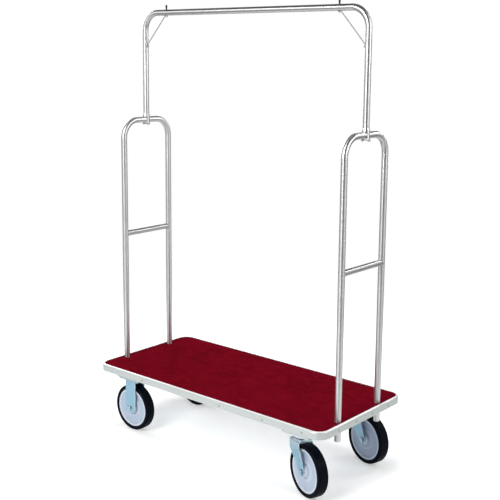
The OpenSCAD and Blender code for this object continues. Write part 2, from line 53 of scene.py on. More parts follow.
# ---------- Camera ----------
# The place in metres, the turns in degrees and the lens in millimetres were fitted to the
# photograph. The shift is a share of the frame.
CAMERA_AT = (2.5021, -2.9218, 1.6435)
CAMERA_YAW, CAMERA_PITCH, CAMERA_ROLL = 40.263, 9.707, 0.456
CAMERA_SENSOR, CAMERA_LENS = 36.0, 68.03
CAMERA_SHIFT_Y = -0.07
CAMERA_CLIP = (0.05, 100.0)


def make_camera():
    """A camera turned by yaw from +Y towards -X, pitched down and rolled, in degrees."""
    yaw, pitch, roll = (math.radians(a) for a in (CAMERA_YAW, CAMERA_PITCH, CAMERA_ROLL))
    level = math.cos(pitch)
    ahead = Vector((-math.sin(yaw) * level, math.cos(yaw) * level, -math.sin(pitch)))
    right = Vector((math.cos(yaw), math.sin(yaw), 0.0))
    up = right.cross(ahead)
    right, up = (
        right * math.cos(roll) + up * math.sin(roll),
        up * math.cos(roll) - right * math.sin(roll),
    )
    data = bpy.data.cameras.new("camera")
    data.sensor_width, data.lens, data.shift_y = CAMERA_SENSOR, CAMERA_LENS, CAMERA_SHIFT_Y
    data.clip_start, data.clip_end = CAMERA_CLIP
    camera = bpy.data.objects.new("camera", data)
    turn = Matrix((right, up, -ahead)).transposed().to_4x4()
    camera.matrix_world = Matrix.Translation(CAMERA_AT) @ turn
    bpy.context.scene.collection.objects.link(camera)
    bpy.context.scene.camera = camera


# ---------- Material nodes ----------
class Nodes:
    """Adds nodes to a shader tree. Inputs are values, or the sockets that feed them."""

    def __init__(self, tree):
        self.tree = tree

    def put(self, socket, value):
        if isinstance(value, bpy.types.NodeSocket):
            self.tree.links.new(value, socket)
        elif socket.type == "RGBA":
            socket.default_value = (*value, 1.0)
        else:
            socket.default_value = value

    def node(self, kind, inputs=None, **settings):
        made = self.tree.nodes.new(kind)
        for key, value in settings.items():
            setattr(made, key, value)
        for key, value in (inputs or {}).items():
            self.put(made.inputs[key], value)
        return made

    def span(self, value, low, high, out_low=0.0, out_high=1.0, **settings):
        """The stretch from low to high carried over to the one from out_low to out_high."""
        made = self.node("ShaderNodeMapRange", {
            "Value": value, "From Min": low, "From Max": high, "To Min": out_low, "To Max": out_high,
        }, **settings)
        return made.outputs["Result"]

    def math(self, operation, a, b=0.0):
        return self.node("ShaderNodeMath", {0: a, 1: b}, operation=operation).outputs["Value"]

    def vector(self, operation, a, b=(0, 0, 0)):
        return self.node("ShaderNodeVectorMath", {0: a, 1: b}, operation=operation)

    def ray_is(self, kind):
        return self.node("ShaderNodeLightPath").outputs[f"Is {kind} Ray"]


class Look(Nodes):
    """A material with one Principled shader. Its patterns are procedural, in metres."""

    def __init__(self, name, metallic=0.0, specular=0.5):
        self.mat = bpy.data.materials.new(name)
        self.mat.use_nodes = True
        super().__init__(self.mat.node_tree)
        self.shader = self.tree.nodes["Principled BSDF"]
        self.set_input("Metallic", metallic)
        self.set_input("Specular IOR Level", specular)
        self.place = self.node("ShaderNodeTexCoord").outputs["Object"]
        self.last_bump = None

    def stretched(self, scale, turn=(0, 0, 0)):
        """Object coordinates turned, then multiplied by scale."""
        inputs = {"Vector": self.place, "Scale": scale, "Rotation": turn}
        return self.node("ShaderNodeMapping", inputs).outputs["Vector"]

    def noise(self, scale, detail=3.0, rough=0.55, at=None, warp=0.0):
        made = self.node("ShaderNodeTexNoise", {
            "Vector": at or self.place, "Scale": scale, "Detail": detail,
            "Roughness": rough, "Distortion": warp,
        })
        return made.outputs["Fac"]

    def cells(self, scale, at=None):
        inputs = {"Vector": at or self.place, "Scale": scale}
        return self.node("ShaderNodeTexVoronoi", inputs).outputs["Distance"]

    def height(self):
        """How high a point is, in the object's own coordinates."""
        return self.node("ShaderNodeSeparateXYZ", {"Vector": self.place}).outputs["Z"]

    def blend(self, factor, first, second):
        """Colour mix. Colours are linear RGB triples or sockets."""
        made = self.node("ShaderNodeMix", data_type="RGBA")
        self.put(made.inputs["Factor"], factor)
        self.put(made.inputs[6], first)
        self.put(made.inputs[7], second)
        return made.outputs[2]

    def tint(self, tone, mask, strength, colour):
        """A tone blended to a colour where the mask is 1, as far as strength."""
        return self.blend(self.math("MULTIPLY", mask, strength), tone, colour)

    def edges(self, width):
        """1 at convex edges, from how much a rounded normal differs from the true one."""
        bevel = self.node("ShaderNodeBevel", {"Radius": width}, samples=4).outputs["Normal"]
        true = self.node("ShaderNodeNewGeometry").outputs["Normal"]
        likeness = self.vector("DOT_PRODUCT", bevel, true).outputs["Value"]
        return self.span(self.math("SUBTRACT", 1.0, likeness), 0.02, 0.25)

    def colour(self, value):
        self.set_input("Base Color", value)

    def rough(self, value):
        self.set_input("Roughness", value)

    def set_input(self, name, value):
        self.put(self.shader.inputs[name], value)

    def bump(self, height, depth, strength):
        """Adds a bump of a depth in metres. Later bumps lie on the earlier ones."""
        inputs = {"Height": height, "Distance": depth, "Strength": strength}
        if self.last_bump is not None:
            inputs["Normal"] = self.last_bump
        self.last_bump = self.node("ShaderNodeBump", inputs).outputs["Normal"]
        self.set_input("Normal", self.last_bump)


def tube_look(name, axis, grain, shade=1.0):
    """Stainless tube polished round and round, which smears reflections along its length.

    axis is the direction square to the tube's bends, grain the scale of its hairlines, and shade
    what its colours are multiplied by, which below 1 darkens the tube as painted shade.
    """
    look = Look(name, metallic=1.0)
    normal = look.node("ShaderNodeNewGeometry").outputs["Normal"]
    look.set_input("Tangent", look.vector("CROSS_PRODUCT", normal, axis).outputs["Vector"])
    look.set_input("Anisotropic", 0.85)
    hair = look.noise(1.0, detail=4.0, rough=0.7, at=look.stretched(grain))
    cloud = look.noise(9.0, detail=4.0, rough=0.6, warp=0.4)
    smudge = look.span(look.noise(23.0, detail=5.0, rough=0.65), 0.52, 0.72)
    tone = look.blend(look.span(hair, 0.3, 0.7), (0.60, 0.61, 0.62), (0.71, 0.715, 0.72))
    tone = look.blend(look.span(cloud, 0.35, 0.75, 0.0, 0.35), tone, (0.78, 0.78, 0.775))
    look.colour(look.blend(1.0 - shade, tone, (0.0, 0.0, 0.0)))
    base = look.span(hair, 0.25, 0.75, 0.28, 0.36)
    look.rough(look.math("ADD", base, look.math("MULTIPLY", smudge, 0.06)))
    look.bump(hair, 0.01 * MM, 0.5)
    return look.mat


ZINC_DARK, ZINC_LIGHT = (0.24, 0.43, 0.56), (0.32, 0.53, 0.65)
# How far below a fork's top its painted highlight starts, and is full
TOP_HIGHLIGHT_DEPTH = (55 * MM, 5 * MM)


def zinc_look(name, ahead=(1, 0, 0), dark=ZINC_DARK, light=ZINC_LIGHT, highlight_top=None):
    """Zinc plate with soft clouds between two tones, bright edges that are partly rubbed wear and partly
    a painted highlight, and a fine grain.

    The cut edges that face along the direction ahead get a painted highlight, and the plate is
    painted paler towards the top height it is given, also a painted highlight.
    """
    look = Look(name, metallic=0.85)
    cloud = look.noise(28.0, detail=5.0, rough=0.62, warp=0.6)
    grain = look.noise(900.0, detail=2.0)
    spangle = look.cells(140.0)
    tone = look.blend(look.span(cloud, 0.3, 0.7), dark, light)
    tone = look.blend(look.span(spangle, 0.1, 0.8, 0.0, 0.18), tone, (0.44, 0.65, 0.77))
    # Bright edges: partly rubbed wear, partly a painted highlight
    tone = look.tint(tone, look.edges(2.2 * MM), 0.85, (0.88, 0.94, 0.96))
    # Painted highlight: the plate turns paler towards the fork's top
    if highlight_top:
        start, full = (highlight_top - depth for depth in TOP_HIGHLIGHT_DEPTH)
        tone = look.blend(look.span(look.height(), start, full, 0.0, 0.8), tone, (0.50, 0.55, 0.60))
    # Painted highlight on the cut edges that face along ahead
    normal = look.node("ShaderNodeTexCoord").outputs["Normal"]
    edge_highlight = look.math("ABSOLUTE", look.vector("DOT_PRODUCT", normal, ahead).outputs["Value"])
    tone = look.blend(look.span(edge_highlight, 0.75, 0.95, 0.0, 0.9), tone, (0.74, 0.95, 0.98))
    look.colour(tone)
    base = look.span(cloud, 0.3, 0.75, 0.27, 0.42)
    look.rough(look.math("ADD", base, look.span(grain, 0.3, 0.7, -0.03, 0.04)))
    look.bump(grain, 0.04 * MM, 0.5)
    look.bump(cloud, 0.2 * MM, 0.25)
    return look.mat


# How far below and above the carpet's top the trim's tone turns into the lip's painted highlight
LIP_HIGHLIGHT = (3 * MM, 1 * MM)


def trim_look():
    """Satin anodised aluminium with lines of extrusion, scuffs, rubbed edges and a painted highlight
    along its lip.
    """
    look = Look("satin_aluminium", metallic=0.35, specular=0.6)
    lines = look.noise(1.0, detail=3.0, rough=0.6, at=look.stretched((6.0, 6.0, 1500.0)))
    cloud = look.noise(7.0, detail=4.0, warp=0.5)
    slant = look.stretched((55.0, 55.0, 420.0), (0.1, 0.25, 0.3))
    scuff_line = look.noise(1.0, detail=5.0, rough=0.75, at=slant)
    scuff = look.span(scuff_line, 0.62, 0.72)
    tone = look.blend(look.span(lines, 0.3, 0.7), (0.50, 0.545, 0.53), (0.56, 0.60, 0.585))
    tone = look.blend(look.span(cloud, 0.4, 0.75, 0.0, 0.4), tone, (0.53, 0.55, 0.58))
    deck_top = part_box("deck_carpet")[1].z
    # Painted highlight: the lip by the carpet is painted near white
    lip_highlight = look.span(look.height(), deck_top - LIP_HIGHLIGHT[0], deck_top + LIP_HIGHLIGHT[1])
    tone = look.blend(lip_highlight, tone, (0.95, 0.94, 0.94))
    tone = look.tint(tone, scuff, 0.35, (0.50, 0.51, 0.53))
    tone = look.tint(tone, look.edges(1.0 * MM), 0.4, (0.94, 0.95, 0.95))
    look.colour(tone)
    base = look.span(lines, 0.3, 0.7, 0.28, 0.38)
    look.rough(look.math("SUBTRACT", base, look.math("MULTIPLY", scuff, 0.1)))
    look.bump(lines, 0.04 * MM, 0.4)
    look.bump(scuff_line, 0.05 * MM, 0.3)
    return look.mat


def carpet_look():
    """Cut-pile carpet: tufts, a fine fibre grain, broad shading of the pile and a dusty sheen."""
    look = Look("crimson_carpet", specular=0.0)
    tuft = look.cells(330.0, at=look.stretched((1.0, 1.0, 0.4)))
    fibre = look.noise(1500.0, detail=3.0, rough=0.7)
    lay = look.noise(16.0, detail=5.0, rough=0.6, warp=1.2)
    broad = look.noise(3.2, detail=3.0, warp=0.6)
    strokes = look.stretched((18.0, 95.0, 1.0), (0, 0, 0.2))
    brush = look.noise(1.0, detail=3.0, rough=0.6, at=strokes)
    tone = look.blend(look.span(tuft, 0.05, 0.75), (0.1520, 0.0030, 0.0087), (0.0684, 0.0014, 0.0042))
    tone = look.blend(look.span(fibre, 0.35, 0.7, 0.0, 0.55), tone, (0.1786, 0.0042, 0.0114))
    tone = look.blend(look.span(lay, 0.38, 0.66, 0.0, 0.70), tone, (0.0699, 0.0012, 0.0043))
    tone = look.blend(look.span(broad, 0.4, 0.65, 0.0, 0.40), tone, (0.1292, 0.0023, 0.0125))
    tone = look.blend(look.span(brush, 0.5, 0.70, 0.0, 0.45), tone, (0.1976, 0.0042, 0.0114))
    look.colour(tone)
    look.rough(look.span(fibre, 0.3, 0.7, 0.85, 1.0))
    look.set_input("Sheen Weight", 0.12)
    look.set_input("Sheen Roughness", 0.4)
    look.set_input("Sheen Tint", (0.85, 0.02, 0.08))
    look.bump(look.math("SUBTRACT", 1.0, tuft), 1.1 * MM, 0.8)
    look.bump(fibre, 0.4 * MM, 0.7)
    look.bump(lay, 1.0 * MM, 0.35)
    return look.mat


def tyre_look():
    """Black rubber with a fine moulded grain and specks of dust."""
    look = Look("black_rubber", specular=0.04)
    grain = look.noise(700.0, detail=3.0, rough=0.6)
    cloud = look.noise(38.0, detail=4.0, rough=0.6, warp=0.5)
    dust = look.span(look.noise(110.0, detail=5.0, rough=0.7), 0.5, 0.8)
    tone = look.blend(look.span(cloud, 0.3, 0.7), (0.0010, 0.0019, 0.0046), (0.0024, 0.0036, 0.0078))
    tone = look.tint(tone, dust, 0.25, (0.012, 0.014, 0.020))
    look.colour(tone)
    look.rough(look.span(cloud, 0.3, 0.75, 0.30, 0.46))
    look.bump(grain, 0.08 * MM, 0.4)
    look.bump(cloud, 0.3 * MM, 0.25)
    return look.mat


def hub_look():
    """Moulded nylon: an orange-peel skin, faint flow marks, and painted shade in its recesses and on its
    inner face.
    """
    look = Look("grey_nylon", specular=0.45)
    peel = look.noise(420.0, detail=2.0)
    flow = look.noise(20.0, detail=4.0, rough=0.6, warp=1.4)
    speck = look.span(look.noise(260.0, detail=4.0, rough=0.75), 0.64, 0.78)
    soil_and_painted_shade = look.node("ShaderNodeAttribute", attribute_name="soil_and_painted_shade").outputs["Fac"]
    tone = look.blend(look.span(flow, 0.3, 0.7), (0.55, 0.61, 0.70), (0.63, 0.68, 0.76))
    # Painted shade: the disc's recesses and inner face are darkened to a blue-grey
    tone = look.tint(tone, soil_and_painted_shade, 0.5, (0.23, 0.31, 0.45))
    tone = look.tint(tone, speck, 0.30, (0.30, 0.33, 0.42))
    tone = look.tint(tone, look.edges(1.5 * MM), 0.35, (0.80, 0.84, 0.92))
    look.colour(tone)
    look.rough(look.span(flow, 0.3, 0.75, 0.34, 0.50))
    look.bump(peel, 0.12 * MM, 0.45)
    look.bump(flow, 0.3 * MM, 0.2)
    return look.mat


def paint_look():
    """Pale grey paint rolled on to plywood, with a stipple, rubs and a hint of grain."""
    look = Look("grey_paint", specular=0.4)
    stipple = look.noise(330.0, detail=2.0)
    grain = look.noise(1.0, detail=4.0, rough=0.65, at=look.stretched((200.0, 9.0, 200.0)))
    cloud = look.noise(14.0, detail=4.0, warp=0.5)
    tone = look.blend(look.span(cloud, 0.3, 0.7), (0.50, 0.53, 0.55), (0.58, 0.61, 0.63))
    tone = look.blend(look.span(grain, 0.5, 0.75, 0.0, 0.25), tone, (0.40, 0.41, 0.42))
    tone = look.tint(tone, look.edges(1.5 * MM), 0.4, (0.66, 0.62, 0.55))
    look.colour(tone)
    look.rough(look.span(cloud, 0.3, 0.7, 0.42, 0.55))
    look.bump(stipple, 0.15 * MM, 0.5)
    look.bump(grain, 0.2 * MM, 0.4)
    return look.mat


def fastener_look(name, light, dark):
    """Plated steel with a fine grain, a little dark soil and bright edges."""
    look = Look(name, metallic=1.0)
    grain = look.noise(1300.0, detail=3.0)
    soil_and_painted_shade = look.noise(180.0, detail=4.0, rough=0.65, warp=0.5)
    tone = look.blend(look.span(soil_and_painted_shade, 0.3, 0.7), light, dark)
    rubbed = tuple(min(1, channel * 1.25) for channel in light)
    look.colour(look.tint(tone, look.edges(0.7 * MM), 0.7, rubbed))
    look.rough(look.span(soil_and_painted_shade, 0.3, 0.75, 0.22, 0.42))
    look.bump(grain, 0.03 * MM, 0.6)
    return look.mat


def brace_look():
    """Drawn steel rod, dull beside the polished tubes, with faint draw lines."""
    look = Look("drawn_rod", metallic=0.5, specular=0.3)
    cloud = look.noise(35.0, detail=3.0, warp=0.4)
    lines = look.noise(1.0, detail=2.0, at=look.stretched((30.0, 900.0, 30.0)))
    tone = look.blend(look.span(cloud, 0.3, 0.7), (0.36, 0.37, 0.38), (0.44, 0.45, 0.46))
    look.colour(look.blend(look.span(lines, 0.3, 0.7, 0.0, 0.2), tone, (0.29, 0.30, 0.31)))
    look.rough(look.span(cloud, 0.3, 0.7, 0.48, 0.60))
    look.bump(lines, 0.02 * MM, 0.3)
    return look.mat


def peg_look():
    """Dull black vinyl with a fine grain and a few pale rubs."""
    look = Look("black_vinyl", specular=0.35)
    grain = look.noise(1500.0, detail=3.0)
    rub = look.span(look.noise(260.0, detail=4.0, rough=0.7), 0.6, 0.75)
    look.colour(look.tint((0.012, 0.012, 0.013), rub, 0.4, (0.05, 0.05, 0.05)))
    look.rough(look.span(grain, 0.3, 0.7, 0.45, 0.62))
    look.bump(grain, 0.08 * MM, 0.5)
    return look.mat


def plug_look():
    """Pale polythene with soft clouds and a moulded skin."""
    look = Look("pale_polythene", specular=0.4)
    cloud = look.noise(60.0, detail=4.0, warp=0.5)
    look.colour(look.blend(look.span(cloud, 0.3, 0.7), (0.56, 0.58, 0.62), (0.66, 0.68, 0.71)))
    look.rough(look.span(cloud, 0.3, 0.7, 0.40, 0.55))
    look.bump(look.noise(600.0, detail=2.0), 0.1 * MM, 0.4)
    return look.mat


post_steel = tube_look("polished_post", (1, 0, 0), (40.0, 40.0, 700.0))
# The push bars take the tube's colours darkened, a painted shade
bar_steel = tube_look("polished_bar_painted_shade", (1, 0, 0), (40.0, 700.0, 40.0), 0.72)
rail_steel = tube_look("polished_rail", (0, 1, 0), (700.0, 40.0, 700.0))
zinc = zinc_look("zinc_plate")
pale_zinc = zinc_look("pale_zinc_plate", dark=(0.60, 0.67, 0.72), light=(0.70, 0.76, 0.80))
trim_metal = trim_look()
carpet_wool = carpet_look()
rubber = tyre_look()
nylon = hub_look()
bolt_steel = fastener_look("plated_bolt", (0.58, 0.70, 0.75), (0.30, 0.38, 0.43))
nut_steel = fastener_look("bright_nut", (0.78, 0.79, 0.80), (0.60, 0.61, 0.62))
screw_steel = fastener_look("bright_screw", (0.58, 0.59, 0.61), (0.30, 0.31, 0.33))
bush_metal = fastener_look("turned_bush", (0.72, 0.72, 0.73), (0.50, 0.50, 0.52))
vinyl = peg_look()
board_paint = paint_look()
brace_steel = brace_look()
polythene = plug_look()

# Each node takes the look whose key is the longest ending of its name
LOOKS = {
    "deck_board": board_paint, "bearer_board": board_paint,
    "edge_trim": trim_metal, "trim_screws": screw_steel,
    "end_hoop": post_steel, "push_bar": bar_steel, "overhead_rail": rail_steel,
    "brace": brace_steel, "brace_screws": screw_steel,
    "post_tabs": zinc, "post_tab_screws": screw_steel, "post_end_plugs": polythene,
    "saddle_bolts": nut_steel, "saddle_nuts": nut_steel,
    "peg_bolts": nut_steel, "peg_nuts": nut_steel, "peg_cap": vinyl,
    "caster_lag_screws": bolt_steel, "fork": zinc, "swivel_plate": pale_zinc,
    "race_balls": bush_metal, "kingpin": bolt_steel, "kingpin_nut": bolt_steel,
    "axle_bolt": bolt_steel, "axle_nut": bolt_steel, "bush": bush_metal,
    "hub": nylon, "tyre": rubber, "deck_carpet": carpet_wool,
}


def paint(piece, material):
    piece.data.materials.clear()
    piece.data.materials.append(material)


def look_of(node):
    return LOOKS[max((ending for ending in LOOKS if node.endswith(ending)), key=len)]


def half_sizes(node):
    """Half of a CAD node's size along each axis."""
    low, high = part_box(node)
    return [(b - a) / 2 for a, b in zip(low, high)]


def add_piece(name, mesh, material, body):
    piece = bpy.data.objects.new(name, mesh)
    bpy.context.scene.collection.objects.link(piece)
    paint(piece, material)
    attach(piece, body)
    return piece


def mesh_from(name, points, faces):
    """A smooth closed mesh, cleaned of doubled points, with its faces turned outwards."""
    mesh = bpy.data.meshes.new(name)
    mesh.from_pydata([tuple(p) for p in points], [], faces)
    cleaner = bmesh.new()
    cleaner.from_mesh(mesh)
    bmesh.ops.remove_doubles(cleaner, verts=cleaner.verts, dist=0.02 * MM)
    loose = [vert for vert in cleaner.verts if not vert.link_faces]
    bmesh.ops.delete(cleaner, geom=loose, context="VERTS")
    bmesh.ops.dissolve_degenerate(cleaner, edges=cleaner.edges, dist=0.01 * MM)
    bmesh.ops.recalc_face_normals(cleaner, faces=cleaner.faces)
    for face in cleaner.faces:
        face.smooth = True
    cleaner.to_mesh(mesh)
    cleaner.free()
    return mesh


# ---------- Carpet ----------
CARPET_PITCH = 3.8 * MM
EDGE_ROLL = 2.5 * MM
EDGE_DROP = 0.8 * MM
POST_GAP = 0.4 * MM
TRIM_CORNER = 50 * MM
# Share of each row's place that crowds the rows towards the long edges
ROW_CROWDING = 0.25
# Keeps the tufts inside the CAD carpet
PILE_SLACK = 0.1 * MM
# Sizes of noise in the pile: waves per metre, the noise's own plane, and the rise
PILE = ((230, 0.3, 0.30 * MM), (60, 4.1, 0.18 * MM), (9, 7.7, 0.16 * MM))


def carpet_grid(half_x, half_y, corner):
    """Points over a rectangle with round corners, row by row, with the rows and columns."""
    columns, rows = round(2 * half_x / CARPET_PITCH), round(2 * half_y / CARPET_PITCH)
    v = np.linspace(-1, 1, rows + 1)
    y = half_y * np.sin(v * math.pi / 2) * ROW_CROWDING + half_y * v * (1 - ROW_CROWDING)
    into_corner = np.clip(np.abs(y) - (half_y - corner), 0, corner)
    reach = half_x - corner + np.sqrt(np.maximum(corner**2 - into_corner**2, 0))
    xs = np.linspace(-1, 1, columns + 1)[None, :] * reach[:, None]
    ys = np.repeat(y[:, None], columns + 1, axis=1)
    return np.stack([xs.ravel(), ys.ravel()], axis=1), rows, columns


def clear_posts(points, posts, hole):
    """Moves the points that lie in a post's hole out to its rim, and marks them."""
    inside = np.zeros(len(points), bool)
    for post in posts:
        away = points - post
        distance = np.maximum(np.linalg.norm(away, axis=1), MM * MM)
        near = distance < hole
        inside |= near
        points[near] = post + away[near] / distance[near, None] * hole
    return inside


def rim_distance(points, half_x, half_y, corner, posts, hole):
    """How far each point lies from the carpet's outline or a hole, whichever is nearer."""
    over_x = np.abs(points[:, 0]) - (half_x - corner)
    over_y = np.abs(points[:, 1]) - (half_y - corner)
    rim = corner - np.hypot(np.maximum(over_x, 0), np.maximum(over_y, 0))
    rim = np.where((over_x < 0) & (over_y < 0), corner - np.maximum(over_x, over_y), rim)
    for post in posts:
        rim = np.minimum(rim, np.linalg.norm(points - post, axis=1) - hole)
    return rim


def pile_height(x, y):
    return sum(rise * noise.noise((x * waves, y * waves, plane)) for waves, plane, rise in PILE)


def slab_faces(rows, columns, inside):
    """A closed slab's faces: the grid's top and bottom, and walls round its open rims."""
    width = columns + 1
    count = width * (rows + 1)
    faces, rims = [], {}
    for j in range(rows):
        for i in range(columns):
            start = j * width + i
            quad = (start, start + 1, start + 1 + width, start + width)
            if all(inside[k] for k in quad):
                continue
            faces.append(quad)
            faces.append(tuple(k + count for k in reversed(quad)))
            for a, b in zip(quad, quad[1:] + quad[:1]):
                if rims.pop((b, a), None) is None:
                    rims[(a, b)] = True
    return faces + [(b, a, a + count, b + count) for a, b in rims]


def carpet_mesh():
    """A closed slab with a tufted top that rolls down at its rim and round the posts."""
    low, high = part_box("deck_carpet")
    half_x, half_y, _ = half_sizes("deck_carpet")
    post_low, post_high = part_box("right_end_hoop")
    tube = half_sizes("right_end_hoop")[0]
    posts = [
        np.array((side_x * (post_low.x + tube), side_y * (post_high.y - tube)))
        for side_x in (-1, 1) for side_y in (-1, 1)
    ]
    hole = tube + POST_GAP
    corner = TRIM_CORNER - (half_sizes("edge_trim")[0] - half_x)
    flat, rows, columns = carpet_grid(half_x, half_y, corner)
    inside = clear_posts(flat, posts, hole)
    rim = rim_distance(flat, half_x, half_y, corner, posts, hole)
    roll = np.clip(1 - rim / EDGE_ROLL, 0, 1) ** 2
    pile = np.array([pile_height(x, y) for x, y in flat])
    upper = np.column_stack([flat, high.z - PILE_SLACK + pile - EDGE_DROP * roll])
    lower = np.column_stack([flat, np.full(len(flat), low.z)])
    faces = slab_faces(rows, columns, inside)
    return mesh_from("carpet_pile", np.vstack([upper, lower]), faces), (2 * half_y, 2 * half_x)


carpet_data, carpet_cut = carpet_mesh()
carpet = add_piece("carpet_pile", carpet_data, carpet_wool, "cart")
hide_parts("deck_carpet")


# ---------- Wheels ----------
WHEELS = ("left_front_wheel", "left_back_wheel", "right_front_wheel", "right_back_wheel")
WHEEL_STEPS = 192
# The tyre: its shoulders' radius, its tread's crown, the seam left standing along the tread's
# middle, and the chamfer where it meets the disc
SHOULDER = 7.0 * MM
CROWN = 0.45 * MM
SEAM = 0.30 * MM
CHAMFER = 1.2 * MM
SHOULDER_STEPS, TREAD_STEPS = 12, 12
# Two grooves round a tyre's wall: share of the wall's height, and depth in millimetres
WALL_GROOVES = (
    (0.16, 0.0), (0.22, 0.63), (0.30, 0.63), (0.36, 0.0),
    (0.62, 0.0), (0.68, 0.315), (0.80, 0.315), (0.86, 0.0),
)
# Heights of a disc's rim and web above its middle plane, in millimetres
RIM_Z, WEB_Z = 19.4, 12.8
RELIEF_ROUND = 0.9 * MM
RELIEF_STEPS = 3
# Extra painted shade on the disc faces that look towards the cart's middle, under the deck
INNER_PAINTED_SHADE = 0.5
BUSH_R = 10.05 * MM
TYRE_R, TYRE_HALF, _ = half_sizes("left_front_tyre")
HUB_R, HUB_HALF, _ = half_sizes("left_front_hub")
# Keeps round meshes inside their CAD solids, and the tyre off the disc
SKIN, SEAT_GAP = 0.02 * MM, 0.05 * MM


def loft(name, rings):
    """A closed mesh through rings of equally many points, the last ring joined to the first."""
    count, size = len(rings), len(rings[0])
    faces = []
    for k in range(count):
        here, there = k * size, (k + 1) % count * size
        for i in range(size):
            after = (i + 1) % size
            faces.append((here + i, here + after, there + after, there + i))
    return mesh_from(name, [point for ring in rings for point in ring], faces)


def revolve(name, section):
    """A closed section of (radius, offset) points turned about the Y axis."""
    rings = []
    for k in range(WHEEL_STEPS):
        angle = 2 * math.pi * k / WHEEL_STEPS
        rings.append([(r * math.cos(angle), o, r * math.sin(angle)) for r, o in section])
    return loft(name, rings)


def tyre_section(outer, inner, half):
    """(radius, offset) points round a tyre: a wall, its shoulder, the crowned tread and back."""
    wall = outer - SHOULDER - inner
    side = [(inner, -half + CHAMFER), (inner + CHAMFER, -half)]
    side += [(inner + wall * at, -half + depth * MM) for at, depth in WALL_GROOVES]
    for k in range(SHOULDER_STEPS + 1):
        angle = math.pi / 2 * k / SHOULDER_STEPS
        radius = outer - CROWN - SHOULDER + SHOULDER * math.sin(angle)
        side.append((radius, -half + SHOULDER - SHOULDER * math.cos(angle)))
    tread = []
    flat_half = half - SHOULDER
    for k in range(1, TREAD_STEPS):
        offset = -flat_half + 2 * flat_half * k / TREAD_STEPS
        rise = CROWN * (1 - (offset / flat_half) ** 2)
        below_seam = 0.0 if 2 * k == TREAD_STEPS else SEAM
        tread.append((outer - CROWN + rise - below_seam, offset))
    return side + tread + [(r, -o) for r, o in reversed(side)]


def rounded(outline, radius):
    """An open outline with its inner corners turned into short curves."""
    points = [outline[0]]
    for before, corner, after in zip(outline, outline[1:], outline[2:]):
        before, corner, after = (np.array(p) for p in (before, corner, after))
        into, out = before - corner, after - corner
        start = corner + into * min(radius / np.linalg.norm(into), 0.45)
        end = corner + out * min(radius / np.linalg.norm(out), 0.45)
        for k in range(RELIEF_STEPS + 1):
            t = k / RELIEF_STEPS
            points.append(tuple(start * (1 - t) ** 2 + corner * 2 * t * (1 - t) + end * t**2))
    return points + [outline[-1]]


def disc_section(bore, rim_r, boss):
    """(radius, offset) points round a wheel disc: boss, hub ring, dish, web and rim lip."""
    face = rounded([(r * MM, z * MM) for r, z in (
        (bore / MM, boss / MM), (15.2, boss / MM), (15.8, 24.5), (20.0, 24.0), (21.0, WEB_Z + 1),
        (30.0, WEB_Z + 1), (33.5, 16.6), (37.5, 16.0), (44.0, WEB_Z), (69.0, WEB_Z), (73.0, 14.0),
        (76.0, RIM_Z), (83.5, RIM_Z), (rim_r / MM, RIM_Z - 1.5),
    )], RELIEF_ROUND)
    return face + [(r, -z) for r, z in reversed(face)]


def axle_frame(wheel):
    """A matrix that turns +Y onto a wheel's axle and moves the origin to its middle."""
    joint = JOINTS[wheel + "_spin"]
    axis = Vector(joint["axis"]).normalized()
    up = Vector((0, 0, 1))
    turn = Matrix((axis.cross(up), axis, up)).transposed().to_4x4()
    return Matrix.Translation(joint["pos_m"]) @ turn


def add_painted_shade(mesh, frame_of_axle):
    """Marks painted shade: how far each point lies below the rim's face, and more on the disc's inner
    face.
    """
    into_disc = frame_of_axle.inverted()
    towards_middle = -frame_of_axle.translation.y * frame_of_axle.col[1].y
    soil_and_painted_shade = mesh.attributes.new("soil_and_painted_shade", "FLOAT", "POINT")
    for point, mark in zip(mesh.vertices, soil_and_painted_shade.data):
        side = (into_disc @ point.co).y
        depth = (RIM_Z - abs(side) / MM) / (RIM_Z - WEB_Z)
        mark.value = min(max(depth, 0.0), 1.0) + (INNER_PAINTED_SHADE if side * towards_middle > 0 else 0.0)


def add_wheel(wheel):
    """A tyre and a disc in place of the CAD ones."""
    corner = wheel.replace("_wheel", "")
    place = axle_frame(wheel)

    section = tyre_section(TYRE_R - SKIN, HUB_R + SEAT_GAP, TYRE_HALF)
    mesh = revolve(corner + "_rubber_tyre", section)
    mesh.transform(place)
    tyre = add_piece(mesh.name, mesh, rubber, wheel)
    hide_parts(corner + "_tyre")

    mesh = revolve(corner + "_wheel_disc", disc_section(BUSH_R, HUB_R - SKIN, HUB_HALF))
    mesh.transform(place)
    add_painted_shade(mesh, place)
    disc = add_piece(mesh.name, mesh, nylon, wheel)
    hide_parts(corner + "_hub")


for wheel in WHEELS:
    add_wheel(wheel)


# ---------- Weld beads ----------
WELD_R = 1.15 * MM
# How far a bead's middle stands off the bar and the post
WELD_LIFT = 0.4 * MM
WELD_STEPS, WELD_SIDES = 140, 12
RIPPLE_STEPS = 7


def bead(name, centres):
    """A closed ring of weld along centres, its thickness rippled by its run."""
    count = len(centres)
    rings = []
    for k, centre in enumerate(centres):
        ahead = (centres[(k + 1) % count] - centres[k - 1]).normalized()
        side = ahead.cross(Vector((0, 1, 0))).normalized()
        over = side.cross(ahead)
        run = math.sin(2 * math.pi * k / RIPPLE_STEPS)
        radius = WELD_R * (1 + 0.16 * run + 0.10 * noise.noise(centre * 900))
        angles = [2 * math.pi * s / WELD_SIDES for s in range(WELD_SIDES)]
        rings.append([centre + (side * math.cos(a) + over * math.sin(a)) * radius for a in angles])
    return loft(name, rings)


